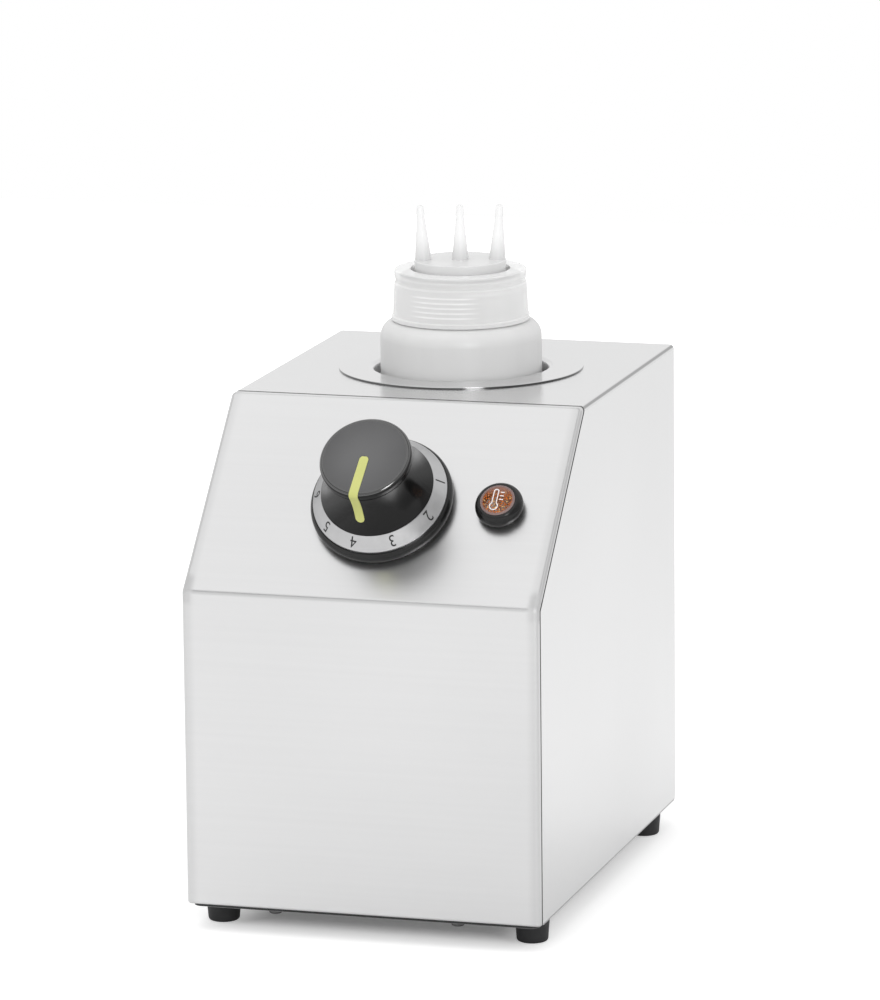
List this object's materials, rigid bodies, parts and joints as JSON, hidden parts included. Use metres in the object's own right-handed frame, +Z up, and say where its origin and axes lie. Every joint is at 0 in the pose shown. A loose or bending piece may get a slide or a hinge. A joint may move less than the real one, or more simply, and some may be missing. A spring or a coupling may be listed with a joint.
{
  "type": "bottle topping warmer",
  "caption": "Sloping-front sheet steel warmer with a heated dry well, dial knob and lamp, holding a squeeze bottle with pouring nozzles.",
  "frame": {"origin": "middle of the whole outline, knob and gland included, on the surface the feet stand on", "axes": "+X to the right seen from the front, +Y to the back, +Z up"},
  "size_m": [0.155, 0.2477, 0.2887],
  "materials": {
    "steel_sheet": "stainless sheet, fine brushed grain across the front",
    "well_steel": "drawn and polished stainless",
    "zinc": "bright zinc-plated fasteners",
    "heater": "mica heater in a plain steel jacket",
    "wool": "ceramic-fibre blanket",
    "black_plastic": "satin black moulding",
    "knob_black": "semi-gloss black phenolic",
    "pointer_green": "yellow-green insert",
    "dial_silver": "satin silver with dark numbers",
    "lens_amber": "amber moulded lens",
    "lamp_moulding": "natural nylon",
    "bottle_plastic": "translucent natural polyethylene",
    "seal_rubber": "soft pale sealing ring",
    "foot_rubber": "moulded black rubber",
    "copper": "bare copper tube",
    "thermostat_moulding": "thermostat case",
    "terminal_white": "steatite block",
    "gland_black": "black nylon gland"
  },
  "bodies": {
    "housing": {"cover": "steel_sheet", "front_panel": "steel_sheet", "rear_panel": "steel_sheet", "rear_screws": "zinc", "base_plate": "steel_sheet", "base_screws": "zinc", "foot_front_left": "foot_rubber", "foot_front_right": "foot_rubber", "foot_rear_left": "foot_rubber", "foot_rear_right": "foot_rubber", "foot_screws": "zinc", "foot_nuts": "zinc", "well_cup": "well_steel", "well_nuts": "zinc", "heater_band": "heater", "clamp_screws": "zinc", "clamp_nuts": "zinc", "insulation_sleeve": "wool", "limit_cutout": "thermostat_moulding", "cutout_nuts": "zinc", "thermostat_body": "thermostat_moulding", "thermostat_screws": "zinc", "capillary_tube": "copper", "sensor_bulb": "copper", "dial_base": "black_plastic", "dial_ring": "dial_silver", "lamp_bezel": "black_plastic", "lamp_lens": "lens_amber", "lamp_body": "lamp_moulding", "lamp_nut": "black_plastic", "gland_body": "gland_black", "gland_dome_nut": "gland_black", "gland_lock_nut": "gland_black", "terminal_block": "terminal_white", "terminal_screws": "zinc", "earth_stud": "zinc"},
    "knob": {"knob_body": "knob_black", "knob_cap": "knob_black", "knob_pointer": "pointer_green", "thermostat_spindle": "zinc"},
    "bottle": {"bottle_body": "bottle_plastic"},
    "seal": {"neck_seal": "seal_rubber"},
    "nozzles": {"nozzle_insert": "bottle_plastic"},
    "cap_ring": {"screw_cap": "bottle_plastic"}
  },
  "joints": [
    {"name": "knob_turn", "type": "hinge", "parent": "housing", "child": "knob", "pos_m": [0.00135, -0.0851, 0.1805], "axis": [0, -0.7116, 0.7026], "range_deg": [-86, 183.7]},
    {"name": "bottle_lift", "type": "slide", "parent": "housing", "child": "bottle", "axis": [0, 0, 1], "range_m": [0, 0.18]},
    {"name": "cap_off", "type": "slide", "parent": "bottle", "child": "seal", "axis": [0, 0, 1], "range_m": [0, 0.055]},
    {"name": "cap_rise", "type": "slide", "parent": "seal", "child": "nozzles", "axis": [0, 0, 1], "range_m": [0, 0.005]},
    {"name": "cap_turn", "type": "hinge", "parent": "nozzles", "child": "cap_ring", "pos_m": [0.0012, 0.03173, 0.248], "axis": [0, 0, 1], "range_deg": [0, 450]}
  ],
  "couplings": [
    {"joint": "cap_rise", "follows": "cap_turn", "m_per_rad": 0.00063662}
  ]
}
